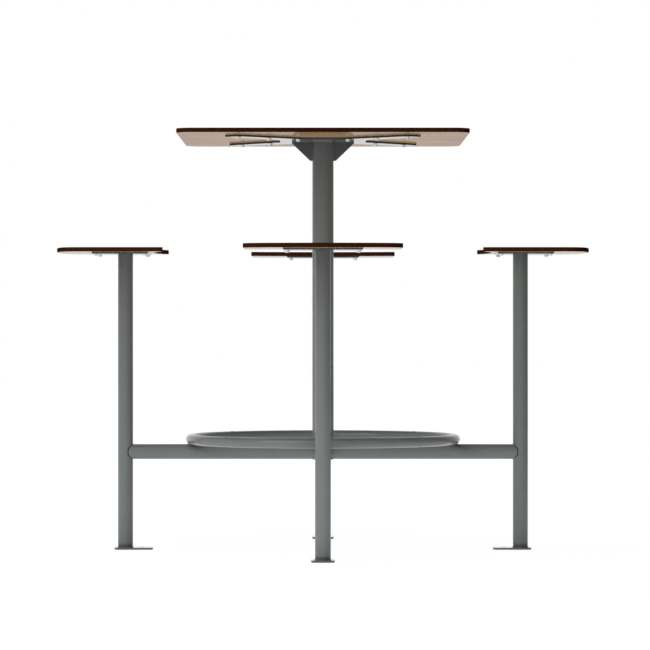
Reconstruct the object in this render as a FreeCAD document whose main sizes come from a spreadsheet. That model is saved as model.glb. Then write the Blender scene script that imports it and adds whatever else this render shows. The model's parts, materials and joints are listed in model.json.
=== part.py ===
import FreeCAD
import Part
import Sketcher
import math
import os

# Bar-height table with four swivel seats on one welded tube frame.
# Millimetres, +Z up, origin on the floor under the middle of the table.
# Every repeated piece is drawn on the +X side and then turned about the table's axis.

DIMENSIONS = {
    # four seat posts on a circle round the table's axis
    "post_circle_radius": 557.3,
    "post_diameter": 42.4,
    "post_wall": 2.6,
    # beams between the column and the posts
    "beam_diameter": 42.4,
    "beam_wall": 2.6,
    "beam_axis_height": 275.5,
    "beam_ear_setback": 9,
    # table column
    "column_diameter": 60.3,
    "column_wall": 2.9,
    "column_cap_thickness": 3,
    # foot ring on top of the beams, in four quarters
    "ring_diameter": 745,
    "ring_tube_diameter": 28.6,
    "ring_wall": 2.6,
    "ring_saddle_depth": 0.3,
    # foot plates
    "foot_inner_reach": 78.6,
    "foot_outer_reach": 30.2,
    "foot_width": 64,
    "foot_thickness": 6,
    "foot_corner_radius": 15,
    "anchor_offset": 47,
    "anchor_hole_diameter": 13,
    # table top
    "table_side": 800,
    "table_height": 1168,
    "table_thickness": 12,
    "table_corner_radius": 47,
    "edge_break": 1,
    # cross-shaped carrier plate under the table top
    "spider_thickness": 5,
    "spider_hub_side": 242,
    "arm_reach": 357,
    "arm_root_width": 100,
    "arm_tip_width": 55,
    "arm_corner_radius": 6,
    "arm_outer_bolt": 329.5,
    "arm_inner_bolt": 212,
    "hub_bolt_side": 69,
    "hub_bolt_front": 93,
    # gussets between the column and the carrier plate
    "gusset_reach": 87.5,
    "gusset_height": 55.2,
    "gusset_land": 6,
    "gusset_thickness": 6,
    # seat boards
    "seat_height": 848,
    "seat_thickness": 12,
    "seat_width": 423,
    "seat_outer_reach": 191.5,
    "seat_inner_reach": 83,
    "seat_arc_radius": 650,
    "seat_corner_radius": 55,
    "seat_horn_radius": 12,
    # plate under each seat, its middle further out than the post
    "bracket_offset": 10,
    "bracket_depth": 158,
    "bracket_width": 214,
    "bracket_thickness": 4,
    "bracket_bevel": 3,
    "bracket_bolt_depth": 68.5,
    "bracket_bolt_width": 96,
    # hexagon flange bolts and their threaded inserts
    "bolt_diameter": 6,
    "bolt_hole_clearance": 0.5,
    "bolt_thread_clearance": 0.05,
    "bolt_flats": 10,
    "bolt_head_height": 4,
    "bolt_flange_diameter": 13,
    "bolt_flange_thickness": 1.4,
    "insert_diameter": 9,
    "insert_length": 9,
    # swivel inside the top of each post
    "spindle_diameter": 30,
    "spindle_length": 150,
    "spindle_chamfer": 2,
    "spindle_tail": 6,
    "running_clearance": 0.05,
    "bush_flange_thickness": 2.5,
    "bush_sleeve_length": 35,
    "guide_length": 25,
    "retainer_thickness": 1.5,
    "retainer_groove_depth": 0.7,
    "retainer_rim": 3.5,
    "retainer_play": 0.3,
    "retainer_opening": 8,
    # every cutting tool runs past the piece by this much
    "overrun": 5,
}

SIDES = {"right": 0, "back": 90, "left": 180, "front": 270}
QUARTER_TURN = 90
FULL_TURN = 360
Y_AXIS = FreeCAD.Vector(0, 1, 0)
Z_AXIS = FreeCAD.Vector(0, 0, 1)

# levels that several pieces share
BEAM_TOP = "(dims.beam_axis_height + dims.beam_diameter / 2)"
BEAM_BOTTOM = "(dims.beam_axis_height - dims.beam_diameter / 2)"
RING_AXIS = f"({BEAM_TOP} + dims.ring_tube_diameter / 2 - dims.ring_saddle_depth)"
TABLE_UNDERSIDE = "(dims.table_height - dims.table_thickness)"
SPIDER_UNDERSIDE = f"({TABLE_UNDERSIDE} - dims.spider_thickness)"
SEAT_UNDERSIDE = "(dims.seat_height - dims.seat_thickness)"
BRACKET_UNDERSIDE = f"({SEAT_UNDERSIDE} - dims.bracket_thickness)"
POST_TOP = f"({BRACKET_UNDERSIDE} - dims.bush_flange_thickness)"
SPINDLE_BOTTOM = f"({BRACKET_UNDERSIDE} - dims.spindle_length)"
GROOVE_BOTTOM = f"({SPINDLE_BOTTOM} + dims.spindle_tail)"
GROOVE_TOP = f"({GROOVE_BOTTOM} + dims.retainer_thickness)"
GUIDE_BOTTOM = f"({GROOVE_TOP} + dims.retainer_play)"

# radii and diameters that two pieces share at a fit
POST_BORE = "(dims.post_diameter - 2 * dims.post_wall)"
COLUMN_BORE = "(dims.column_diameter - 2 * dims.column_wall)"
BUSH_BORE_RADIUS = "(dims.spindle_diameter / 2 + dims.running_clearance)"
GROOVE_DIAMETER = "(dims.spindle_diameter - 2 * dims.retainer_groove_depth)"
BOLT_HOLE = "(dims.bolt_diameter + 2 * dims.bolt_hole_clearance)"
BOLT_SHANK = "(dims.bolt_diameter - 2 * dims.bolt_thread_clearance)"
POST_X = "dims.post_circle_radius"

doc = FreeCAD.newDocument("bar_table")
sheet = doc.addObject("Spreadsheet::Sheet", "dims")
for row, (alias, size) in enumerate(DIMENSIONS.items(), start=1):
    sheet.set(f"A{row}", alias)
    sheet.set(f"B{row}", str(size))
    sheet.setAlias(f"B{row}", alias)
doc.recompute()

subparts = []


def bind(item, expressions):
    """Tie properties of a document object to expressions over the sheet."""
    for path, expression in expressions.items():
        item.setExpression(path, expression)


def value(expression):
    """Current value of an expression over the sheet."""
    return float(sheet.evalExpression(expression))


def finish(item, angle=0):
    """Turn a finished sub-part about the table's axis and list it for writing."""
    item.Placement = FreeCAD.Placement(FreeCAD.Vector(), FreeCAD.Rotation(Z_AXIS, angle))
    subparts.append(item)
    return item


# Part primitives


def upright(name, diameter, bottom, height, x="0", y="0"):
    """Vertical cylinder."""
    item = doc.addObject("Part::Cylinder", name)
    bind(item, {
        "Radius": f"{diameter} / 2",
        "Height": height,
        "Placement.Base.x": x,
        "Placement.Base.y": y,
        "Placement.Base.z": bottom,
    })
    return item


def lying(name, diameter, length, z):
    """Cylinder along +X from the table's axis."""
    item = doc.addObject("Part::Cylinder", name)
    item.Placement = FreeCAD.Placement(FreeCAD.Vector(), FreeCAD.Rotation(Y_AXIS, QUARTER_TURN))
    bind(item, {"Radius": f"{diameter} / 2", "Height": length, "Placement.Base.z": z})
    return item


def cut(name, base, tool):
    item = doc.addObject("Part::Cut", name)
    item.Base = base
    item.Tool = tool
    return item


def group(name, items):
    item = doc.addObject("Part::Compound", name)
    item.Links = items
    return item


# Part design


def new_body(name):
    return doc.addObject("PartDesign::Body", name)


def new_sketch(body, role, offset):
    """Sketch on one of the body's own origin planes, moved by expressions for x, y and z."""
    plane = next(feature for feature in body.Origin.OriginFeatures if feature.Role == role)
    sketch = body.newObject("Sketcher::SketchObject", f"{body.Name}_sketch")
    sketch.AttachmentSupport = [(plane, "")]
    sketch.MapMode = "FlatFace"
    bind(sketch, {f"AttachmentOffset.Base.{axis}": text for axis, text in offset.items()})
    return sketch


def hold(sketch, kind, *elements, expression):
    """Dimension in a sketch, driven by an expression."""
    index = sketch.addConstraint(Sketcher.Constraint(kind, *elements, value(expression)))
    sketch.setExpression(f"Constraints[{index}]", expression)


def hold_point(sketch, element, point, x, y):
    """Fix a point of a sketch at expressions for x and y, on an axis where one is zero."""
    for kind, expression, axis in (("DistanceX", x, -2), ("DistanceY", y, -1)):
        if expression == "0":
            sketch.addConstraint(Sketcher.Constraint("PointOnObject", element, point, axis))
        else:
            hold(sketch, kind, -1, 1, element, point, expression=expression)


def polygon(sketch, corners):
    """Closed outline through corners given as pairs of expressions."""
    points = [FreeCAD.Vector(value(x), value(y), 0) for x, y in corners]
    count = len(corners)
    for index in range(count):
        line = Part.LineSegment(points[index], points[(index + 1) % count])
        sketch.addGeometry(line, False)
    for index in range(count):
        following = (index + 1) % count
        sketch.addConstraint(Sketcher.Constraint("Coincident", index, 2, following, 1))
    for index, (x, y) in enumerate(corners):
        hold_point(sketch, index, 1, x, y)


def rectangle(sketch, left, right, half_width):
    polygon(sketch, [
        (left, f"-{half_width}"),
        (right, f"-{half_width}"),
        (right, half_width),
        (left, half_width),
    ])


def circles(sketch, centres, diameter):
    for x, y in centres:
        centre = FreeCAD.Vector(value(x), value(y), 0)
        index = sketch.addGeometry(Part.Circle(centre, Z_AXIS, value(diameter) / 2), False)
        hold_point(sketch, index, 3, x, y)
        hold(sketch, "Diameter", index, expression=diameter)


def pad(body, sketch, length):
    item = body.newObject("PartDesign::Pad", f"{body.Name}_pad")
    item.Profile = sketch
    item.setExpression("Length", length)
    return item


def pocket_up(body, sketch, depth):
    """Pocket cut upwards from its sketch; the volume has to fall."""
    doc.recompute()
    before = body.Shape.Volume
    item = body.newObject("PartDesign::Pocket", f"{body.Name}_pocket")
    item.Profile = sketch
    item.Reversed = True
    item.setExpression("Length", depth)
    doc.recompute()
    if body.Shape.Volume >= before:
        raise RuntimeError(f"{body.Name}: a pocket cuts nothing")
    return item


def dress(body, kind, wanted, size):
    """Fillet or chamfer the edges of the body that the test picks out."""
    doc.recompute()
    base = body.Tip
    names = [f"Edge{index}" for index, edge in enumerate(base.Shape.Edges, start=1) if wanted(edge)]
    item = body.newObject(f"PartDesign::{kind}", f"{body.Name}_{kind.lower()}")
    item.Base = (base, names)
    item.setExpression("Radius" if kind == "Fillet" else "Size", size)
    return item


def revolve(body, sketch):
    item = body.newObject("PartDesign::Revolution", f"{body.Name}_revolution")
    item.Profile = sketch
    item.ReferenceAxis = (sketch, ["V_Axis"])
    item.Angle = FULL_TURN
    return item


def is_vertical(edge):
    if not isinstance(edge.Curve, Part.Line):
        return False
    return abs(edge.Curve.Direction.z) > abs(edge.Curve.Direction.x) + abs(edge.Curve.Direction.y)


def is_level(edge):
    """Edge that lies in one horizontal plane."""
    box = edge.BoundBox
    return box.ZLength < min(edge.Length, value("dims.edge_break") / 2)


# The frame


def seat_post(side, angle):
    bottom = "dims.foot_thickness"
    height = f"{POST_TOP} - dims.foot_thickness"
    outside = upright(f"post_outside_{side}", "dims.post_diameter", bottom, height, POST_X)
    bore = upright(
        f"post_bore_{side}",
        POST_BORE,
        f"{bottom} - dims.overrun",
        f"{height} + 2 * dims.overrun",
        POST_X,
    )
    finish(cut(f"seat_post_{side}", outside, bore), angle)


def foot_plate(side, angle):
    body = new_body(f"foot_plate_{side}")
    outline = new_sketch(body, "XY_Plane", {"x": POST_X})
    rectangle(outline, "-dims.foot_inner_reach", "dims.foot_outer_reach", "dims.foot_width / 2")
    pad(body, outline, "dims.foot_thickness")
    dress(body, "Fillet", is_vertical, "dims.foot_corner_radius")
    anchor = new_sketch(body, "XY_Plane", {"x": POST_X})
    circles(anchor, [("-dims.anchor_offset", "0")], "dims.anchor_hole_diameter")
    pocket_up(body, anchor, "dims.foot_thickness + dims.overrun")
    finish(body, angle)


def cross_beam(side, angle):
    """Tube coped to the column and to the post, with its sharp ears trimmed back."""
    axis = "dims.beam_axis_height"
    length = f"{POST_X} - dims.beam_ear_setback"
    tool_bottom = f"{BEAM_BOTTOM} - dims.overrun"
    tool_height = "dims.beam_diameter + 2 * dims.overrun"
    outside = lying(f"beam_outside_{side}", "dims.beam_diameter", length, axis)
    column_cope = upright(f"beam_column_cope_{side}", "dims.column_diameter", tool_bottom, tool_height)
    post_cope = upright(f"beam_post_cope_{side}", "dims.post_diameter", tool_bottom, tool_height, POST_X)
    bore_size = "(dims.beam_diameter - 2 * dims.beam_wall)"
    bore = lying(f"beam_bore_{side}", bore_size, f"{length} + dims.overrun", axis)
    hollow = cut(f"beam_hollow_{side}", outside, bore)
    coped = cut(f"beam_coped_{side}", hollow, column_cope)
    finish(cut(f"cross_beam_{side}", coped, post_cope), angle)


def torus_quarter(name, tube_diameter):
    item = doc.addObject("Part::Torus", name)
    item.Angle3 = QUARTER_TURN
    item.Placement = FreeCAD.Placement(FreeCAD.Vector(), FreeCAD.Rotation(Z_AXIS, -QUARTER_TURN / 2))
    bind(item, {
        "Radius1": "dims.ring_diameter / 2",
        "Radius2": f"{tube_diameter} / 2",
        "Placement.Base.z": RING_AXIS,
    })
    return item


def foot_ring(side, angle):
    """Quarter of the foot ring, notched to sit on its beam."""
    outside = torus_quarter(f"ring_outside_{side}", "dims.ring_tube_diameter")
    bore = torus_quarter(f"ring_bore_{side}", "(dims.ring_tube_diameter - 2 * dims.ring_wall)")
    beam = lying(f"ring_beam_{side}", "dims.beam_diameter", POST_X, "dims.beam_axis_height")
    hollow = cut(f"ring_hollow_{side}", outside, bore)
    finish(cut(f"foot_ring_{side}", hollow, beam), angle)


def table_column():
    height = f"{SPIDER_UNDERSIDE} - {BEAM_BOTTOM}"
    outside = upright("column_outside", "dims.column_diameter", BEAM_BOTTOM, height)
    bore = upright(
        "column_bore",
        COLUMN_BORE,
        f"{BEAM_BOTTOM} - dims.overrun",
        f"{height} + 2 * dims.overrun",
    )
    finish(cut("table_column", outside, bore))
    subparts.append(upright("column_cap", COLUMN_BORE, BEAM_BOTTOM, "dims.column_cap_thickness"))


def spider_gusset(side):
    """Cut-cornered plate between the column and the carrier plate, coped to the column."""
    body = new_body(f"gusset_plate_{side}")
    outline = new_sketch(body, "XZ_Plane", {"y": SPIDER_UNDERSIDE, "z": "-dims.gusset_thickness / 2"})
    heel = "dims.column_diameter / 2 + dims.gusset_land"
    polygon(outline, [
        ("0", "0"),
        ("0", "-dims.gusset_height"),
        (heel, "-dims.gusset_height"),
        ("dims.gusset_reach", "-dims.gusset_land"),
        ("dims.gusset_reach", "0"),
    ])
    pad(body, outline, "dims.gusset_thickness")
    cope = upright(
        f"gusset_cope_{side}",
        "dims.column_diameter",
        f"{SPIDER_UNDERSIDE} - dims.gusset_height - dims.overrun",
        "dims.gusset_height + 2 * dims.overrun",
    )
    finish(cut(f"spider_gusset_{side}", body, cope), SIDES[side])


def table_spider():
    """Square hub with four tapered arms to the corners, drawn with an arm along X and turned."""
    body = new_body("table_spider")
    hub = new_sketch(body, "XY_Plane", {"z": SPIDER_UNDERSIDE})
    corner = "dims.spider_hub_side / sqrt(2)"
    polygon(hub, [(corner, "0"), ("0", corner), (f"-{corner}", "0"), ("0", f"-{corner}")])
    pad(body, hub, "dims.spider_thickness")
    for across in (False, True):
        arms = new_sketch(body, "XY_Plane", {"z": SPIDER_UNDERSIDE})
        arm_pair(arms, across)
        pad(body, arms, "dims.spider_thickness")
    dress(body, "Fillet", is_arm_tip, "dims.arm_corner_radius")
    holes = new_sketch(body, "XY_Plane", {"z": SPIDER_UNDERSIDE})
    circles(holes, arm_bolt_centres() + hub_bolt_centres(), BOLT_HOLE)
    pocket_up(body, holes, "dims.spider_thickness + dims.overrun")
    finish(body, QUARTER_TURN / 2)


def is_arm_tip(edge):
    """Corner at the end of an arm, the only ones as far out as the arm's reach."""
    if not is_vertical(edge):
        return False
    corner = edge.Vertexes[0].Point
    return math.hypot(corner.x, corner.y) > value("dims.arm_reach")


def arm_pair(sketch, across):
    """Two opposite arms that taper from the middle to both tips."""
    root = "dims.arm_root_width / 2"
    tip = "dims.arm_tip_width / 2"
    reach = "dims.arm_reach"
    outline = [
        (reach, f"-{tip}"),
        (reach, tip),
        ("0", root),
        (f"-{reach}", tip),
        (f"-{reach}", f"-{tip}"),
        ("0", f"-{root}"),
    ]
    polygon(sketch, [(y, x) for x, y in outline] if across else outline)


def arm_bolt_centres():
    """Bolts along the arms, in the carrier plate's own frame."""
    centres = []
    for reach in ("dims.arm_outer_bolt", "dims.arm_inner_bolt"):
        centres += [(reach, "0"), ("0", reach), (f"-{reach}", "0"), ("0", f"-{reach}")]
    return centres


def hub_bolt_centres():
    """Bolts beside the gussets, in the carrier plate's own frame."""
    far = "(dims.hub_bolt_side + dims.hub_bolt_front) / sqrt(2)"
    near = "(dims.hub_bolt_front - dims.hub_bolt_side) / sqrt(2)"
    return [(far, near), (near, far), (f"-{far}", f"-{near}"), (f"-{near}", f"-{far}")]


# Bolts and boards


def flange_bolt(name, x, y, seat, grip):
    """Hexagon flange bolt that points up, with its flange against the level called seat."""
    flange_bottom = f"{seat} - dims.bolt_flange_thickness"
    head = doc.addObject("Part::Prism", f"{name}_head")
    head.Polygon = 6
    bind(head, {
        "Circumradius": "dims.bolt_flats / sqrt(3)",
        "Height": "dims.bolt_head_height",
        "Placement.Base.x": x,
        "Placement.Base.y": y,
        "Placement.Base.z": f"{flange_bottom} - dims.bolt_head_height",
    })
    flange_size = "dims.bolt_flange_diameter"
    flange = upright(f"{name}_flange", flange_size, flange_bottom, "dims.bolt_flange_thickness", x, y)
    shank = upright(f"{name}_shank", BOLT_SHANK, seat, f"{grip} + dims.insert_length", x, y)
    bolt = doc.addObject("Part::MultiFuse", name)
    bolt.Shapes = [head, flange, shank]
    return bolt


def threaded_insert(name, x, y, mouth):
    """Sleeve in a board whose lower end is level with the board's underside."""
    sleeve = upright(f"{name}_sleeve", "dims.insert_diameter", mouth, "dims.insert_length", x, y)
    thread = upright(
        f"{name}_thread",
        "dims.bolt_diameter",
        f"{mouth} - dims.overrun",
        "dims.insert_length + 2 * dims.overrun",
        x,
        y,
    )
    return cut(name, sleeve, thread)


def bolts_and_inserts(bolts_name, inserts_name, centres, seat, grip, mouth, angle):
    bolts = []
    inserts = []
    for number, (x, y) in enumerate(centres, start=1):
        bolts.append(flange_bolt(f"{bolts_name}_{number}", x, y, seat, grip))
        inserts.append(threaded_insert(f"{inserts_name}_{number}", x, y, mouth))
    finish(group(bolts_name, bolts), angle)
    finish(group(inserts_name, inserts), angle)


def table_top():
    body = new_body("table_top")
    outline = new_sketch(body, "XY_Plane", {"z": TABLE_UNDERSIDE})
    half = "dims.table_side / 2"
    rectangle(outline, f"-{half}", half, half)
    pad(body, outline, "dims.table_thickness")
    dress(body, "Fillet", is_vertical, "dims.table_corner_radius")
    dress(body, "Chamfer", is_level, "dims.edge_break")
    sockets = new_sketch(body, "XY_Plane", {"z": TABLE_UNDERSIDE})
    circles(sockets, turned_bolt_centres(), "dims.insert_diameter")
    pocket_up(body, sockets, "dims.insert_length")
    finish(body)


def turned_bolt_centres():
    """The carrier plate's bolts in the table's frame, an eighth of a turn from the plate's own."""
    centres = []
    for x, y in arm_bolt_centres() + hub_bolt_centres():
        centres.append((f"(({x}) - ({y})) / sqrt(2)", f"(({x}) + ({y})) / sqrt(2)"))
    return centres


def seat_board(side, angle):
    """Curved band: both long edges are arcs that bulge away from the table."""
    body = new_body(f"seat_board_{side}")
    sketch = new_sketch(body, "XY_Plane", {"x": POST_X, "z": SEAT_UNDERSIDE})
    radius = "dims.seat_arc_radius"
    centres = (
        f"dims.seat_outer_reach - {radius}",
        f"-dims.seat_inner_reach - {radius}",
    )
    half = "dims.seat_width / 2"
    bow = math.asin(value(half) / value(radius))
    for centre in centres:
        circle = Part.Circle(FreeCAD.Vector(value(centre), 0, 0), Z_AXIS, value(radius))
        sketch.addGeometry(Part.ArcOfCircle(circle, -bow, bow), False)
    outer, inner = 0, 1
    ends = [geometry.EndPoint for geometry in sketch.Geometry]
    starts = [geometry.StartPoint for geometry in sketch.Geometry]
    upper = sketch.addGeometry(Part.LineSegment(ends[outer], ends[inner]), False)
    lower = sketch.addGeometry(Part.LineSegment(starts[inner], starts[outer]), False)
    for first, first_end, second, second_end in (
        (outer, 2, upper, 1),
        (upper, 2, inner, 2),
        (inner, 1, lower, 1),
        (lower, 2, outer, 1),
    ):
        sketch.addConstraint(Sketcher.Constraint("Coincident", first, first_end, second, second_end))
    for line in (upper, lower):
        sketch.addConstraint(Sketcher.Constraint("Horizontal", line))
    for arc, centre in zip((outer, inner), centres):
        hold_point(sketch, arc, 3, centre, "0")
        hold(sketch, "Radius", arc, expression=radius)
    hold(sketch, "DistanceY", -1, 1, upper, 1, expression=half)
    hold(sketch, "DistanceY", lower, 1, -1, 1, expression=half)
    pad(body, sketch, "dims.seat_thickness")
    dress(body, "Fillet", is_outer_corner, "dims.seat_corner_radius")
    dress(body, "Fillet", is_horn, "dims.seat_horn_radius")
    dress(body, "Chamfer", is_level, "dims.edge_break")
    sockets = new_sketch(body, "XY_Plane", {"x": POST_X, "z": SEAT_UNDERSIDE})
    circles(sockets, bracket_bolt_centres("0"), "dims.insert_diameter")
    pocket_up(body, sockets, "dims.insert_length")
    finish(body, angle)


def is_outer_corner(edge):
    return is_vertical(edge) and edge.BoundBox.XMin > value(POST_X)


def is_horn(edge):
    """Inner corner of a seat, nearer to the table than the middle of the inner edge."""
    inner_edge = value(f"{POST_X} - dims.seat_inner_reach")
    return is_vertical(edge) and edge.BoundBox.XMax < inner_edge


def bracket_bolt_centres(post):
    """Four bolts in the corners of the seat's plate, measured from the expression called post."""
    centres = []
    middle = f"{post} + dims.bracket_offset"
    for depth in (f"{middle} + dims.bracket_bolt_depth", f"{middle} - dims.bracket_bolt_depth"):
        for width in ("dims.bracket_bolt_width", "-dims.bracket_bolt_width"):
            centres.append((depth, width))
    return centres


def seat_bracket(side, angle):
    """Plate with a wide bevel round its lower edge."""
    body = new_body(f"seat_bracket_{side}")
    outline = new_sketch(body, "XY_Plane", {"x": POST_X, "z": BRACKET_UNDERSIDE})
    inner_end = "dims.bracket_offset - dims.bracket_depth / 2"
    outer_end = "dims.bracket_offset + dims.bracket_depth / 2"
    rectangle(outline, inner_end, outer_end, "dims.bracket_width / 2")
    pad(body, outline, "dims.bracket_thickness")
    underside = value(BRACKET_UNDERSIDE) + value("dims.bracket_thickness") / 2
    dress(body, "Chamfer", lambda edge: edge.BoundBox.ZMax < underside, "dims.bracket_bevel")
    holes = new_sketch(body, "XY_Plane", {"x": POST_X, "z": BRACKET_UNDERSIDE})
    circles(holes, bracket_bolt_centres("0"), BOLT_HOLE)
    pocket_up(body, holes, "dims.bracket_thickness + dims.overrun")
    finish(body, angle)


# The swivel


def turned_piece(name, angle, profile):
    """Piece turned about the post's axis from a profile of radii and heights."""
    body = new_body(name)
    sketch = new_sketch(body, "XZ_Plane", {"x": POST_X})
    polygon(sketch, profile)
    revolve(body, sketch)
    finish(body, angle)


def post_bush(side, angle):
    """Flanged bush: the sleeve fills the post's bore and the flange carries the seat."""
    sleeve = f"{POST_BORE} / 2"
    flange = "dims.post_diameter / 2"
    sleeve_bottom = f"{POST_TOP} - dims.bush_sleeve_length"
    turned_piece(f"post_bush_{side}", angle, [
        (BUSH_BORE_RADIUS, sleeve_bottom),
        (sleeve, sleeve_bottom),
        (sleeve, POST_TOP),
        (flange, POST_TOP),
        (flange, BRACKET_UNDERSIDE),
        (BUSH_BORE_RADIUS, BRACKET_UNDERSIDE),
    ])


def spindle_guide(side, angle):
    """Plain lower bush in the post's bore."""
    sleeve = f"{POST_BORE} / 2"
    guide_top = f"{GUIDE_BOTTOM} + dims.guide_length"
    turned_piece(f"spindle_guide_{side}", angle, [
        (BUSH_BORE_RADIUS, GUIDE_BOTTOM),
        (sleeve, GUIDE_BOTTOM),
        (sleeve, guide_top),
        (BUSH_BORE_RADIUS, guide_top),
    ])


def seat_spindle(side, angle):
    """Bar under the seat's plate, with a chamfered tail and a groove for its retainer."""
    radius = "dims.spindle_diameter / 2"
    tail = f"{radius} - dims.spindle_chamfer"
    groove = f"{GROOVE_DIAMETER} / 2"
    turned_piece(f"seat_spindle_{side}", angle, [
        ("0", SPINDLE_BOTTOM),
        (tail, SPINDLE_BOTTOM),
        (radius, f"{SPINDLE_BOTTOM} + dims.spindle_chamfer"),
        (radius, GROOVE_BOTTOM),
        (groove, GROOVE_BOTTOM),
        (groove, GROOVE_TOP),
        (radius, GROOVE_TOP),
        (radius, BRACKET_UNDERSIDE),
        ("0", BRACKET_UNDERSIDE),
    ])


def spindle_retainer(side, angle):
    """Open ring in the spindle's groove, under the lower bush."""
    thickness = "dims.retainer_thickness"
    rim_size = f"({GROOVE_DIAMETER} + 2 * dims.retainer_rim)"
    rim = upright(f"retainer_rim_{side}", rim_size, GROOVE_BOTTOM, thickness, POST_X)
    tool_bottom = f"{GROOVE_BOTTOM} - dims.overrun"
    tool_height = f"{thickness} + 2 * dims.overrun"
    bore = upright(f"retainer_bore_{side}", GROOVE_DIAMETER, tool_bottom, tool_height, POST_X)
    opening = doc.addObject("Part::Box", f"retainer_opening_{side}")
    bind(opening, {
        "Length": f"{rim_size} / 2 + dims.overrun",
        "Width": "dims.retainer_opening",
        "Height": tool_height,
        "Placement.Base.x": POST_X,
        "Placement.Base.y": "-dims.retainer_opening / 2",
        "Placement.Base.z": tool_bottom,
    })
    ring = cut(f"retainer_ring_{side}", rim, bore)
    finish(cut(f"spindle_retainer_{side}", ring, opening), angle)


# The whole part


table_column()
for gusset_side in ("right", "left"):
    spider_gusset(gusset_side)
table_spider()
table_top()
bolts_and_inserts(
    "table_bolts",
    "table_inserts",
    turned_bolt_centres(),
    SPIDER_UNDERSIDE,
    "dims.spider_thickness",
    TABLE_UNDERSIDE,
    0,
)
for side_name, side_angle in SIDES.items():
    seat_post(side_name, side_angle)
    foot_plate(side_name, side_angle)
    cross_beam(side_name, side_angle)
    foot_ring(side_name, side_angle)
    post_bush(side_name, side_angle)
    spindle_guide(side_name, side_angle)
    seat_board(side_name, side_angle)
    seat_bracket(side_name, side_angle)
    seat_spindle(side_name, side_angle)
    spindle_retainer(side_name, side_angle)
    bolts_and_inserts(
        f"seat_bolts_{side_name}",
        f"seat_inserts_{side_name}",
        bracket_bolt_centres(POST_X),
        BRACKET_UNDERSIDE,
        "dims.bracket_thickness",
        SEAT_UNDERSIDE,
        side_angle,
    )
doc.recompute()

for item in doc.Objects:
    if "Invalid" in item.State or "Error" in item.State:
        raise RuntimeError(f"{item.Label} failed: {item.State}")
for item in subparts:
    if item.Shape.isNull() or not item.Shape.isValid():
        raise RuntimeError(f"{item.Label} has no valid shape")

os.makedirs("parts", exist_ok=True)
for item in subparts:
    item.Shape.exportStep(f"parts/{item.Label}.step")
    solids = len(item.Shape.Solids)
    print(f"{item.Label}: {solids} solids, {item.Shape.Volume:.0f} mm3")
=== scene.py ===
import bmesh
import bpy
import json
import math
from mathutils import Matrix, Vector


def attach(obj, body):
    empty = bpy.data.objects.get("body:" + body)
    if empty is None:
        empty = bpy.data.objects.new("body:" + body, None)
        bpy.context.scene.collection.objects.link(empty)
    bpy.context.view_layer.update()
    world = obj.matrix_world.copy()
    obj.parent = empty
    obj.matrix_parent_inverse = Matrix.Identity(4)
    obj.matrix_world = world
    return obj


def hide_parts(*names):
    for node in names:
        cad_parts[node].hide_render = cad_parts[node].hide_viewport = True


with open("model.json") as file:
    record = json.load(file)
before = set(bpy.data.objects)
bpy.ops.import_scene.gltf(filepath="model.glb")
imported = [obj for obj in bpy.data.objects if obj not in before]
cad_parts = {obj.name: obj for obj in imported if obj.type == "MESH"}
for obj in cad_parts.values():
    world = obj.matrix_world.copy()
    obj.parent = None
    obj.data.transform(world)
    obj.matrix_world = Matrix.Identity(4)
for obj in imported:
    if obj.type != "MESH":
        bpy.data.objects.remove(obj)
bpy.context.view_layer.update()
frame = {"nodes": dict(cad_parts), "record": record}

# Each side's turn from the right-hand side, in quarter turns.
SIDE_TURNS = {"right": 0, "back": 1, "left": 2, "front": 3}
QUARTER_TURN = math.radians(90)

# The view: a level camera, far in front of the front seat.
CAMERA_PLACE = (0.0, -10.163, 0.6326)
CAMERA_LENS = 199.4
CAMERA_SENSOR = 36.0
CAMERA_SHIFT_X = 0.00315

# Levels and radii of the frame, in metres.
TUBE = 0.0212
POST_CIRCLE = 0.5573
BEAM_AXIS = 0.2755
EAR_SETBACK = 0.009
COLUMN = 0.03015
COLUMN_BORE = 0.02725
RING_CIRCLE = 0.3725
RING_TUBE = 0.0143
RING_AXIS = 0.3107
FOOT_TOP = 0.006
SPIDER_UNDERSIDE = 1.151
BRACKET_UNDERSIDE = 0.832
GUSSET_HALF = 0.003
GUSSET_REACH = 0.0875
GUSSET_HEIGHT = 0.0552

# Flange bolts: sizes, then places along the arms, on the hub and on a bracket.
BOLT_FLATS = 0.010
BOLT_HEAD = 0.004
BOLT_FLANGE = 0.0065
BOLT_FLANGE_DEPTH = 0.0014
BOLT_FLANGE_SIDES = 40
BOLT_FACE_INSET = 0.0009
BOLT_TURN = math.radians(23)
ARM_BOLTS = (0.3295, 0.212)
HUB_BOLT = (0.069, 0.093)
BRACKET_BOLT = (0.0685, 0.096)
BRACKET_OFFSET = 0.010

# Weld beads: half thicknesses, then the ripple that all of them share.
POST_BEAD = 0.0014
BEAM_COLUMN_BEAD = 0.0009
FOOT_BEAD = 0.0019
SADDLE_BEAD = 0.001
SADDLE_RADIUS = 0.004
SADDLE_HALF_AXES = (0.0036, 0.0044)
SEAM_BEAD = 0.0016
COLUMN_HEAD_BEAD = 0.0028
COLUMN_CAP_BEAD = 0.0014
GUSSET_BEAD = 0.0022
BEAD_STEPS = 64
BEAD_SIDES = 8
BEAD_WAIST = 0.86
BEAD_END = 0.45
RIPPLE_LENGTH = 0.004

SMOOTH_ANGLE = math.radians(40)

# How much darker the right-hand surroundings are in reflections.
MIRRORED_SHADE = 0.7

# Painted shade: colour of the coat in full shade, and the share of its own colour left where shade
# is painted near the feet and on plate edges.
SHADE_COLOUR = (0.005, 0.005, 0.005)
PAINTED_FOOT_SHADE_SHARE = 0.5
PAINTED_EDGE_SHADE_SHARE = 0.42

# Where the square of one component of a surface's direction tells a face from an edge.
FACE_LIMIT = 0.8


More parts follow.
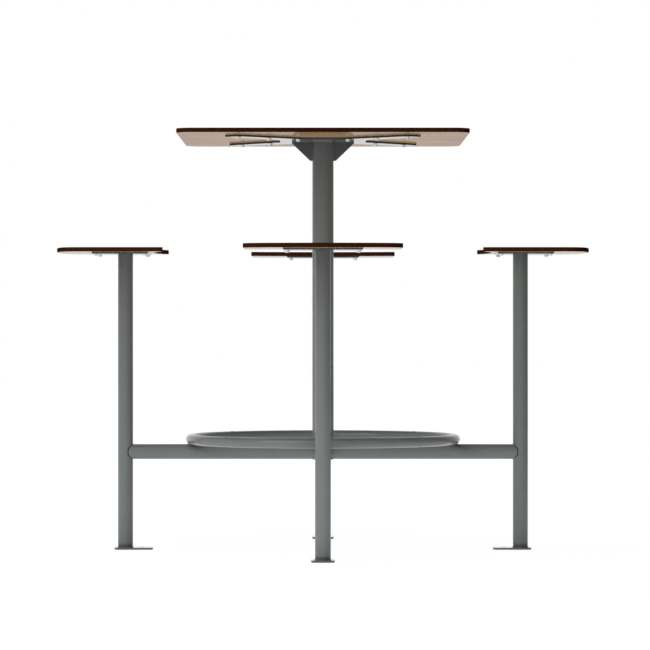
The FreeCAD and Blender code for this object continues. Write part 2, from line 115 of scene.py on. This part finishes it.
def clear_selection():
    if bpy.context.object and bpy.context.object.mode != "OBJECT":
        bpy.ops.object.mode_set(mode="OBJECT")
    bpy.ops.object.select_all(action="DESELECT")


def select_only(piece):
    clear_selection()
    piece.select_set(True)
    bpy.context.view_layer.objects.active = piece


# Shader maths


class Signal:
    """One output socket; sums and products of signals add their Math nodes."""

    def __init__(self, recipe, socket):
        self.recipe = recipe
        self.socket = socket

    def _math(self, operation, first, second):
        return self.recipe.add("Math", "Value", {"operation": operation}, {0: first, 1: second})

    def __add__(self, other):
        return self._math("ADD", self, other)

    __radd__ = __add__

    def __sub__(self, other):
        return self._math("SUBTRACT", self, other)

    def __rsub__(self, other):
        return self._math("SUBTRACT", other, self)

    def __mul__(self, other):
        return self._math("MULTIPLY", self, other)

    __rmul__ = __mul__

    def above(self, limit):
        return self._math("GREATER_THAN", self, limit)

    def larger(self, other):
        return self._math("MAXIMUM", self, other)

    def root(self):
        return self.recipe.add("Math", "Value", {"operation": "SQRT"}, {0: self})


class Recipe:
    """Nodes of one material or of the world."""

    def __init__(self, tree):
        self.tree = tree

    def add(self, kind, output, settings=None, inputs=None):
        """Add a node with its settings, then its inputs, and give back one of its outputs."""
        node = self.tree.nodes.new(f"ShaderNode{kind}")
        for name, setting in (settings or {}).items():
            if name == "stops":
                self._set_stops(node.color_ramp, setting)
            else:
                setattr(node, name, setting)
        for name, entry in (inputs or {}).items():
            self.feed(node.inputs[name], entry)
        return Signal(self, node.outputs[output])

    def feed(self, socket, entry):
        if isinstance(entry, Signal):
            self.tree.links.new(entry.socket, socket)
        else:
            socket.default_value = entry

    def _set_stops(self, ramp, stops):
        while len(ramp.elements) < len(stops):
            ramp.elements.new(0.5)
        for element, (position, colour) in zip(ramp.elements, stops):
            element.position = position
            element.color = (*colour, 1)

    def span(self, value, source, target):
        """Map a value from one range to another, held at both ends."""
        return self.add("MapRange", "Result", None, {
            "Value": value,
            "From Min": source[0],
            "From Max": source[1],
            "To Min": target[0],
            "To Max": target[1],
        })

    def components(self, vector, axes):
        """The named components of a vector, one signal each."""
        return [self.add("SeparateXYZ", axis, None, {"Vector": vector}) for axis in axes]

    def looked_at(self):
        """1 for rays from the eye and for those of reflections and glass, 0 for soft light."""
        kinds = ("Camera", "Glossy", "Transmission")
        rays = [self.add("LightPath", f"Is {kind} Ray") for kind in kinds]
        return rays[0].larger(rays[1]).larger(rays[2])

    def mirrored(self):
        """1 for rays that a glossy surface sends on."""
        return self.add("LightPath", "Is Glossy Ray")


class Finish(Recipe):
    """A procedural material on one Principled shader."""

    def __init__(self, name):
        self.material = bpy.data.materials.new(name)
        self.material.use_nodes = True
        super().__init__(self.material.node_tree)
        self.shader = self.tree.nodes["Principled BSDF"]
        self.output = self.tree.nodes["Material Output"]
        self.place = self.add("TexCoord", "Object")

    def blend(self, factor, first, second):
        """Colour between two colours."""
        colours = [entry if isinstance(entry, Signal) else (*entry, 1) for entry in (first, second)]
        settings = {"data_type": "RGBA"}
        return self.add("Mix", 2, settings, {0: factor, 6: colours[0], 7: colours[1]})

    def stretch(self, scale):
        return self.add("Mapping", "Vector", None, {"Vector": self.place, "Scale": scale})

    def noise(self, scale, detail=3.0, rough=0.5, place=None):
        return self.add("TexNoise", "Fac", None, {
            "Vector": place or self.place,
            "Scale": scale,
            "Detail": detail,
            "Roughness": rough,
        })

    def bump(self, height, strength, distance):
        return self.add("Bump", "Normal", None, {
            "Height": height,
            "Strength": strength,
            "Distance": distance,
        })

    def ramp(self, factor, stops):
        return self.add("ValToRGB", "Color", {"stops": stops}, {"Fac": factor})

    def facing(self, axis):
        """One component of the surface's direction."""
        [tilt] = self.components(self.add("NewGeometry", "Normal"), axis)
        return tilt

    def distance_to_post(self):
        """Level distance to the axis of the nearest of the four posts."""
        folded = self.add("VectorMath", "Vector", {"operation": "ABSOLUTE"}, {0: self.place})
        x, y = self.components(folded, "XY")
        longer = x.larger(y)
        along, across = longer - POST_CIRCLE, x + y - longer
        return (along * along + across * across).root()

    def painted_edge_shade(self, thin_axis, start):
        """Painted shade on a plate's edges: 1 on its faces, and less on its edges further than
        start from the table's axis.
        """
        x, y = self.components(self.place, "XY")
        reach = (x * x + y * y).root()
        tilt = self.facing(thin_axis)
        on_face = self.span(tilt * tilt, (0.5, 0.9), (PAINTED_EDGE_SHADE_SHARE, 1))
        near_column = self.span(reach, (start, start + 0.04), (1, 0))
        return on_face.larger(near_column)

    def surface(self, **sockets):
        for name, entry in sockets.items():
            self.feed(self.shader.inputs[name.replace("_", " ")], entry)
        return self.material

    def mix_over(self, factor, other):
        """Show another shader over the first one where the factor is 1."""
        first = Signal(self, self.shader.outputs["BSDF"])
        mixed = self.add("MixShader", "Shader", None, {0: factor, 1: first, 2: other})
        self.feed(self.output.inputs["Surface"], mixed)


# Finishes


def powder_coat(name, dark, pale, gloss, lacquer=0.0, thin_axis=None, painted_shade_edges_from=0.0):
    """Grey coat with faint clouds and the fine ripple of baked powder.

    Shade is painted into its colour close to the feet and, where a plate's thin axis is given, on
    the plate's edges.
    """
    finish = Finish(name)
    cloud = finish.noise(scale=9.0, detail=4.0)
    peel = finish.noise(scale=900.0, detail=2.0, rough=0.6)
    # Painted shade: low down near a post the coat fades towards SHADE_COLOUR, standing in for the
    # contact shadow at its foot.
    [height] = finish.components(finish.place, "Z")
    above_painted_shade = finish.span(height, (FOOT_TOP, 3 * FOOT_TOP), (0, 1))
    beyond_painted_shade = finish.span(finish.distance_to_post(), (0.03, 0.05), (PAINTED_FOOT_SHADE_SHARE, 1))
    share = beyond_painted_shade.larger(above_painted_shade)
    # Painted shade on the edges of a plate, darker than its faces.
    if thin_axis:
        share = share * finish.painted_edge_shade(thin_axis, painted_shade_edges_from)
    return finish.surface(
        Base_Color=finish.blend(share, SHADE_COLOUR, finish.blend(cloud, dark, pale)),
        Roughness=0.11 + 0.06 * finish.noise(scale=60.0),
        Normal=finish.bump(peel, strength=0.1, distance=0.00015),
        Specular_IOR_Level=gloss,
        Coat_Weight=lacquer,
    )


def laminate(name, along):
    """Wood decor on the faces over a dark core on the edges; along is the grain's direction."""
    finish = Finish(name)
    long_way, cross_way = 1.6, 46.0
    scale = (long_way, cross_way, cross_way) if along == "x" else (cross_way, long_way, cross_way)
    grain_place = finish.stretch(scale)
    broad = finish.noise(scale=1.0, detail=5.0, rough=0.55, place=grain_place)
    fine = finish.noise(scale=7.0, detail=3.0, rough=0.6, place=grain_place)
    decor = finish.ramp(0.6 * broad + 0.4 * fine, [
        (0.30, (0.235, 0.13, 0.062)),
        (0.47, (0.365, 0.226, 0.116)),
        (0.62, (0.455, 0.296, 0.162)),
        (0.75, (0.535, 0.365, 0.212)),
    ])
    tilt = finish.facing("Z")
    face_shader = finish.add("BsdfPrincipled", "BSDF", None, {
        "Base Color": decor,
        "Roughness": 0.05 + 0.05 * fine,
        "Specular IOR Level": 0.0003,
        "Coat Weight": 0.35 * tilt.above(FACE_LIMIT),
        "Coat Roughness": 0.28,
        "Normal": finish.bump(fine, strength=0.05, distance=0.0004),
    })
    layer_place = finish.stretch((9.0, 9.0, 1400.0))
    layers = finish.noise(scale=1.0, detail=2.0, place=layer_place)
    finish.surface(
        Base_Color=finish.blend(layers, (0.024, 0.006, 0.0025), (0.07, 0.023, 0.011)),
        Roughness=0.42 + 0.12 * layers,
        Specular_IOR_Level=0.0,
    )
    finish.mix_over((tilt * tilt).above(FACE_LIMIT), face_shader)
    return finish.material


def zinc():
    finish = Finish("bright_zinc")
    mottle = finish.noise(scale=350.0)
    return finish.surface(
        Base_Color=finish.blend(mottle, (0.66, 0.68, 0.70), (0.82, 0.83, 0.85)),
        Roughness=0.22 + 0.16 * mottle,
        Metallic=1.0,
    )


def turned_steel():
    finish = Finish("turned_steel")
    line_place = finish.stretch((20.0, 20.0, 2600.0))
    lines = finish.noise(scale=1.0, detail=2.0, place=line_place)
    return finish.surface(
        Base_Color=finish.blend(lines, (0.42, 0.43, 0.44), (0.6, 0.61, 0.62)),
        Roughness=0.25 + 0.2 * lines,
        Metallic=1.0,
    )


def bush_polymer():
    finish = Finish("bush_polymer")
    speckle = finish.noise(scale=700.0, detail=2.0)
    return finish.surface(
        Base_Color=finish.blend(speckle, (0.11, 0.118, 0.115), (0.14, 0.149, 0.145)),
        Roughness=0.45 + 0.15 * speckle,
    )


def brass():
    finish = Finish("plain_brass")
    mottle = finish.noise(scale=260.0)
    return finish.surface(
        Base_Color=finish.blend(mottle, (0.58, 0.40, 0.15), (0.75, 0.57, 0.27)),
        Roughness=0.3 + 0.15 * mottle,
        Metallic=1.0,
    )


def finish_nodes():
    """Give each node its slot's finish, or its own where grain or shade differ."""
    grain_x = laminate("laminate_grain_across", "x")
    grain_y = laminate("laminate_grain_along", "y")
    finishes = {
        "powder_coat": powder_coat(
            "tube_coat",
            dark=(0.145, 0.158, 0.154),
            pale=(0.17, 0.184, 0.179),
            gloss=0.22,
        ),
        "zinc": zinc(),
        "bright_steel": turned_steel(),
        "bush_polymer": bush_polymer(),
        "brass": brass(),
        "laminate": grain_x,
    }
    plate_coat = powder_coat(
        "plate_coat",
        dark=(0.082, 0.094, 0.098),
        pale=(0.1, 0.113, 0.117),
        gloss=0.16,
        thin_axis="Z",
        painted_shade_edges_from=0.12,
    )
    gusset_coat = powder_coat(
        "gusset_coat",
        dark=(0.1, 0.107, 0.112),
        pale=(0.122, 0.129, 0.133),
        gloss=0.16,
        thin_axis="Y",
    )
    # Painted shade: the foot plates' coat is darker than the tube coat, standing in for the shade
    # close to the floor.
    foot_coat_with_painted_shade = powder_coat(
        "foot_coat_with_painted_shade",
        dark=(0.105, 0.115, 0.112),
        pale=(0.122, 0.132, 0.128),
        gloss=0.3,
        lacquer=1.0,
    )
    own_finish = {
        "seat_board_left": grain_y,
        "seat_board_right": grain_y,
        "spider_gusset_left": gusset_coat,
        "spider_gusset_right": gusset_coat,
        "table_spider": plate_coat,
    }
    for side in SIDE_TURNS:
        own_finish[f"seat_bracket_{side}"] = plate_coat
        own_finish[f"foot_plate_{side}"] = foot_coat_with_painted_shade
    slots = {entry["node"]: entry["material_slot"] for entry in frame["record"]["subparts"]}
    for node, piece in frame["nodes"].items():
        material = own_finish.get(node, finishes[slots[node]])
        piece.data.materials.clear()
        piece.data.materials.append(material)
    return finishes


# Modelling


def pick_vertices(piece, wanted):
    """In edit mode, select the vertices whose place passes the test."""
    mesh = bmesh.from_edit_mesh(piece.data)
    bpy.ops.mesh.select_all(action="DESELECT")
    for vertex in mesh.verts:
        vertex.select_set(wanted(vertex.co))
    mesh.select_flush_mode()
    bmesh.update_edit_mesh(piece.data)


def pick_lower_face(piece):
    """In edit mode, select the face that points straight down."""
    mesh = bmesh.from_edit_mesh(piece.data)
    bpy.ops.mesh.select_all(action="DESELECT")
    for face in mesh.faces:
        face.select_set(face.normal.z < -0.9)
    bmesh.update_edit_mesh(piece.data)


def settle(piece, place, turn=(0, 0, 0)):
    """Leave edit mode, put the piece in its place and write that into its mesh."""
    select_only(piece)
    piece.location = place
    piece.rotation_euler = turn
    bpy.ops.object.transform_apply(location=True, rotation=True, scale=True)


def dress(piece, name, body, material):
    """Name a finished piece, give it its finish and let it ride."""
    piece.name = name
    piece.data.name = name
    piece.data.materials.clear()
    piece.data.materials.append(material)
    select_only(piece)
    bpy.ops.object.shade_smooth_by_angle(angle=SMOOTH_ANGLE)
    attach(piece, body)


def copied(piece, turn):
    """Copy of a piece with its own mesh, turned about the table's axis by quarter turns."""
    select_only(piece)
    bpy.ops.object.duplicate(linked=False)
    copy = bpy.context.object
    settle(copy, (0, 0, 0), (0, 0, QUARTER_TURN * turn))
    return copy


def joined(pieces):
    """Make one piece of several, under the first one's name."""
    select_only(pieces[0])
    for piece in pieces:
        piece.select_set(True)
    bpy.ops.object.join()
    return bpy.context.object


# Welds


def weld_ring(radius, thickness, follow, swell=None):
    """Bead in a closed line: each ring of a torus goes to its point of the joint and is rippled."""
    clear_selection()
    bpy.ops.mesh.primitive_torus_add(
        major_radius=radius,
        minor_radius=thickness,
        major_segments=BEAD_STEPS,
        minor_segments=BEAD_SIDES,
    )
    piece = bpy.context.object
    bpy.ops.object.mode_set(mode="EDIT")
    step_angle = math.tau / BEAD_STEPS
    rings = {step: [] for step in range(BEAD_STEPS)}
    for vertex in bmesh.from_edit_mesh(piece.data).verts:
        step = round(math.atan2(vertex.co.y, vertex.co.x) / step_angle) % BEAD_STEPS
        rings[step].append(vertex.index)
    for step, members in rings.items():
        mesh = bmesh.from_edit_mesh(piece.data)
        mesh.verts.ensure_lookup_table()
        bpy.ops.mesh.select_all(action="DESELECT")
        for index in members:
            mesh.verts[index].select_set(True)
        mesh.select_flush_mode()
        bmesh.update_edit_mesh(piece.data)
        angle = step * step_angle
        start = Vector((radius * math.cos(angle), radius * math.sin(angle), 0))
        shift = Vector(follow(angle)) - start
        bpy.ops.transform.translate(value=shift)
        size = (BEAD_WAIST if step % 2 else 1.0) * (swell(angle) if swell else 1.0)
        bpy.ops.transform.resize(value=(size, size, size), center_override=start + shift)
    return piece


def weld_line(start, end, thickness):
    """Straight bead between two points: a rippled bar with blunt ends."""
    start, end = Vector(start), Vector(end)
    length = (end - start).length
    clear_selection()
    bpy.ops.mesh.primitive_cylinder_add(vertices=BEAD_SIDES, radius=thickness, depth=length)
    piece = bpy.context.object
    bpy.ops.object.mode_set(mode="EDIT")
    mesh = bmesh.from_edit_mesh(piece.data)
    bpy.ops.mesh.select_all(action="DESELECT")
    for edge in mesh.edges:
        edge.select_set(abs(edge.verts[0].co.z - edge.verts[1].co.z) > length / 2)
    bmesh.update_edit_mesh(piece.data)
    last_step = 2 * round(length / RIPPLE_LENGTH)
    bpy.ops.mesh.subdivide(number_cuts=last_step - 1)
    pitch = length / last_step
    for step in range(0, last_step + 1, 2):
        height = step * pitch - length / 2
        size = BEAD_END if step in (0, last_step) else BEAD_WAIST
        pick_vertices(piece, lambda place: abs(place.z - height) < pitch / 3)
        bpy.ops.transform.resize(value=(size, size, 1), center_override=(0, 0, height))
    turn = (end - start).to_track_quat("Z", "Y").to_euler()
    settle(piece, (start + end) / 2, turn)
    return piece


def round_line(radius):
    """Plain circle for a bead to follow."""
    return lambda angle: (radius * math.cos(angle), radius * math.sin(angle), 0)


def post_joint_line(angle):
    """Line where a beam's end meets its post, with the post's side under the trimmed ears."""
    widest = math.sqrt(TUBE ** 2 - EAR_SETBACK ** 2)
    across = max(-widest, min(widest, TUBE * math.sin(angle)))
    return TUBE * math.cos(angle), across, POST_CIRCLE - math.sqrt(TUBE ** 2 - across ** 2)


def fuller_at_ears(angle):
    """Size of the bead at a post: slight above and below the beam, full beside its ears."""
    return 0.45 + 1.25 * math.sin(angle) ** 4


def column_joint_line(angle):
    """Line where a beam's end meets the column."""
    across = TUBE * math.sin(angle)
    return TUBE * math.cos(angle), across, math.sqrt(COLUMN ** 2 - across ** 2)


def ring_saddle_line(angle):
    """Pinched line between the foot ring and the beam that it sits on."""
    half_along, half_across = SADDLE_HALF_AXES
    along, across = half_along * math.cos(angle), half_across * math.sin(angle)
    beam_top = BEAM_AXIS + math.sqrt(TUBE ** 2 - across ** 2)
    ring_bottom = RING_AXIS - math.sqrt(RING_TUBE ** 2 - along ** 2)
    return along, across, (beam_top + ring_bottom) / 2


def weld_frame(coat):
    """Every weld is made on the right-hand side and copied round the table's axis."""
    post = weld_ring(TUBE, POST_BEAD, post_joint_line, fuller_at_ears)
    settle(post, (0, 0, BEAM_AXIS), (0, QUARTER_TURN, 0))
    column = weld_ring(TUBE, BEAM_COLUMN_BEAD, column_joint_line)
    settle(column, (0, 0, BEAM_AXIS), (0, QUARTER_TURN, 0))
    foot = weld_ring(TUBE, FOOT_BEAD, round_line(TUBE + 0.0003))
    settle(foot, (POST_CIRCLE, 0, FOOT_TOP))
    saddle = weld_ring(SADDLE_RADIUS, SADDLE_BEAD, ring_saddle_line)
    settle(saddle, (RING_CIRCLE, 0, 0))
    seam = weld_ring(RING_TUBE, SEAM_BEAD, round_line(RING_TUBE - 0.0007))
    settle(seam, (RING_CIRCLE, 0, RING_AXIS), (QUARTER_TURN, 0, 0))
    settle(seam, (0, 0, 0), (0, 0, QUARTER_TURN / 2))
    # Painted shadow: the beads where beams meet posts are near black, standing in for the shadow in
    # the gap at each beam's end.
    painted_gap_shadow_coat = powder_coat(
        "painted_gap_shadow_joint_coat",
        dark=(0.022, 0.025, 0.024),
        pale=(0.03, 0.033, 0.032),
        gloss=0.1,
    )
    patterns = {
        "beam_post_weld": (post, painted_gap_shadow_coat),
        "beam_column_weld": (column, coat),
        "post_foot_weld": (foot, coat),
        "ring_beam_weld": (saddle, coat),
        "ring_seam_weld": (seam, coat),
    }
    for name, (pattern, material) in patterns.items():
        for side, turn in SIDE_TURNS.items():
            piece = copied(pattern, turn) if turn else pattern
            dress(piece, f"{name}_{side}", "frame", material)
    head = weld_ring(COLUMN, COLUMN_HEAD_BEAD, round_line(COLUMN + 0.0006))
    settle(head, (0, 0, SPIDER_UNDERSIDE))
    dress(head, "column_head_weld", "frame", coat)
    cap = weld_ring(COLUMN_BORE, COLUMN_CAP_BEAD, round_line(COLUMN_BORE))
    settle(cap, (0, 0, BEAM_AXIS - TUBE))
    dress(cap, "column_cap_weld", "frame", coat)
    weld_gussets(coat)


def weld_gussets(coat):
    """Beads on both sides of each gusset, along the carrier plate and down the column."""
    inner, outer = COLUMN + 0.004, GUSSET_REACH - 0.003
    heel, neck = SPIDER_UNDERSIDE - GUSSET_HEIGHT + 0.002, SPIDER_UNDERSIDE - 0.003
    lines = []
    for face in (GUSSET_HALF, -GUSSET_HALF):
        plate_start, plate_end = (inner, face, SPIDER_UNDERSIDE), (outer, face, SPIDER_UNDERSIDE)
        lines.append(weld_line(plate_start, plate_end, GUSSET_BEAD))
        lines.append(weld_line((COLUMN, face, heel), (COLUMN, face, neck), GUSSET_BEAD))
    right = joined(lines)
    left = copied(right, 2)
    dress(right, "gusset_welds_right", "frame", coat)
    dress(left, "gusset_welds_left", "frame", coat)


# Bolts


def bolt_disc(sides, radius, top, depth, rim, shift):
    """Disc or hexagon below a level, with a bevelled lower rim and its lower face set by shift."""
    clear_selection()
    bpy.ops.mesh.primitive_cylinder_add(
        vertices=sides,
        radius=radius,
        depth=depth,
        location=(0, 0, top - depth / 2),
    )
    piece = bpy.context.object
    settle(piece, piece.location)
    bpy.ops.object.mode_set(mode="EDIT")
    pick_lower_face(piece)
    bpy.ops.mesh.bevel(offset=rim, segments=2)
    pick_lower_face(piece)
    bpy.ops.mesh.inset(thickness=BOLT_FACE_INSET)
    bpy.ops.transform.translate(value=(0, 0, shift))
    clear_selection()
    return piece


def flange_bolt_head():
    """Head and flange of one bolt, seat at level zero and head downwards."""
    flange = bolt_disc(
        BOLT_FLANGE_SIDES,
        BOLT_FLANGE,
        top=0,
        depth=BOLT_FLANGE_DEPTH,
        rim=0.0004,
        shift=-0.0005,
    )
    hexagon = bolt_disc(
        6,
        BOLT_FLATS / math.sqrt(3),
        top=-BOLT_FLANGE_DEPTH,
        depth=BOLT_HEAD,
        rim=0.0006,
        shift=0.0004,
    )
    return joined([flange, hexagon])


def bolt_group(pattern, node, body, places, level, material):
    """Copies of the bolt at their places, each turned a little differently, as one piece."""
    bolts = []
    for number, (x, y) in enumerate(places):
        bolt = copied(pattern, 0)
        settle(bolt, (x, y, level), (0, 0, BOLT_TURN * number))
        bolts.append(bolt)
    piece = joined(bolts)
    dress(piece, f"{node}_turned", body, material)
    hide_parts(node)


def four_corners(x, y):
    return [(x, y), (-x, y), (-x, -y), (x, -y)]


def add_bolts(material):
    pattern = flange_bolt_head()
    places = []
    for reach in ARM_BOLTS:
        places += four_corners(reach / math.sqrt(2), reach / math.sqrt(2))
    places += four_corners(*HUB_BOLT)
    bolt_group(pattern, "table_bolts", "frame", places, SPIDER_UNDERSIDE, material)
    depth, width = BRACKET_BOLT
    middle = POST_CIRCLE + BRACKET_OFFSET
    for side, turn in SIDE_TURNS.items():
        places = []
        for x, y in ((depth, width), (depth, -width), (-depth, width), (-depth, -width)):
            place = (middle + x, y)
            for _ in range(turn):
                place = (-place[1], place[0])
            places.append(place)
        node, body = f"seat_bolts_{side}", f"seat_{side}"
        bolt_group(pattern, node, body, places, BRACKET_UNDERSIDE, material)
    select_only(pattern)
    bpy.ops.object.delete()


# The stage


def add_camera():
    clear_selection()
    bpy.ops.object.camera_add(location=CAMERA_PLACE, rotation=(QUARTER_TURN, 0, 0))
    camera = bpy.context.object
    camera.data.lens = CAMERA_LENS
    camera.data.sensor_width = CAMERA_SENSOR
    camera.data.shift_x = CAMERA_SHIFT_X
    bpy.context.scene.camera = camera


def add_floor():
    """Pale floor: white to the eye apart from the shadow, and a soft light around the object."""
    clear_selection()
    bpy.ops.mesh.primitive_plane_add(size=60.0)
    floor = bpy.context.object
    floor.name = "floor"
    finish = Finish("pale_floor")
    finish.surface(Base_Color=(0.9, 0.9, 0.9, 1), Roughness=0.8)
    reach = finish.add("VectorMath", "Value", {"operation": "LENGTH"}, {0: finish.place})
    across, along = finish.components(finish.place, "XY")
    under_table = finish.span(reach, (0.5, 0.9), (1.1, 2.0))
    lit_patch = finish.span(reach, (1.2, 1.8), (1, 0))
    in_front = finish.span(along, (-1.0, -0.6), (1.5, 1))
    off_the_feet = finish.span(finish.distance_to_post(), (0.04, 0.14), (0.45, 1))
    glow = under_table * lit_patch * in_front * off_the_feet
    shaded_side = finish.mirrored() * finish.span(across, (1.0, 5.0), (0, MIRRORED_SHADE))
    backdrop = finish.span(reach, (1.2, 4.0), (1.06, 1.1)) * (1 - shaded_side)
    seen = finish.looked_at()
    strength = seen * backdrop + (1 - seen) * glow
    white = finish.add("Emission", "Emission", None, {"Strength": strength})
    finish.mix_over(0.91, white)
    floor.data.materials.append(finish.material)


def add_world():
    """White surroundings to the eye, and a soft light that comes mostly from the left."""
    world = bpy.data.worlds.new("studio")
    world.use_nodes = True
    bpy.context.scene.world = world
    recipe = Recipe(world.node_tree)
    sky = world.node_tree.nodes["Background"]
    sky.inputs["Color"].default_value = (1, 1, 1, 1)
    [across] = recipe.components(recipe.add("TexCoord", "Generated"), "X")
    soft = (0.1 - 0.42 * across).larger(0.06)
    shaded_side = recipe.mirrored() * recipe.span(across, (0.2, 0.9), (0, MIRRORED_SHADE))
    seen = recipe.looked_at()
    recipe.feed(sky.inputs["Strength"], seen * (1 - shaded_side) + (1 - seen) * soft)


def add_lamp(name, place, target, size, power):
    clear_selection()
    bpy.ops.object.light_add(type="AREA", location=place)
    lamp = bpy.context.object
    lamp.name = name
    lamp.data.shape = "SQUARE"
    lamp.data.size = size
    lamp.data.energy = power
    aim = Vector(target) - Vector(place)
    lamp.rotation_euler = aim.to_track_quat("-Z", "Y").to_euler()


finishes = finish_nodes()
weld_frame(finishes["powder_coat"])
add_bolts(finishes["zinc"])
add_camera()
add_floor()
add_world()
add_lamp("key_lamp", place=(-3.2, -4.5, 3.7), target=(0, 0, 0.4), size=4.4, power=165)
add_lamp("top_lamp", place=(0, 0, 4.6), target=(0, 0, 0), size=0.8, power=44)

bpy.context.scene.view_settings.view_transform = "Standard"
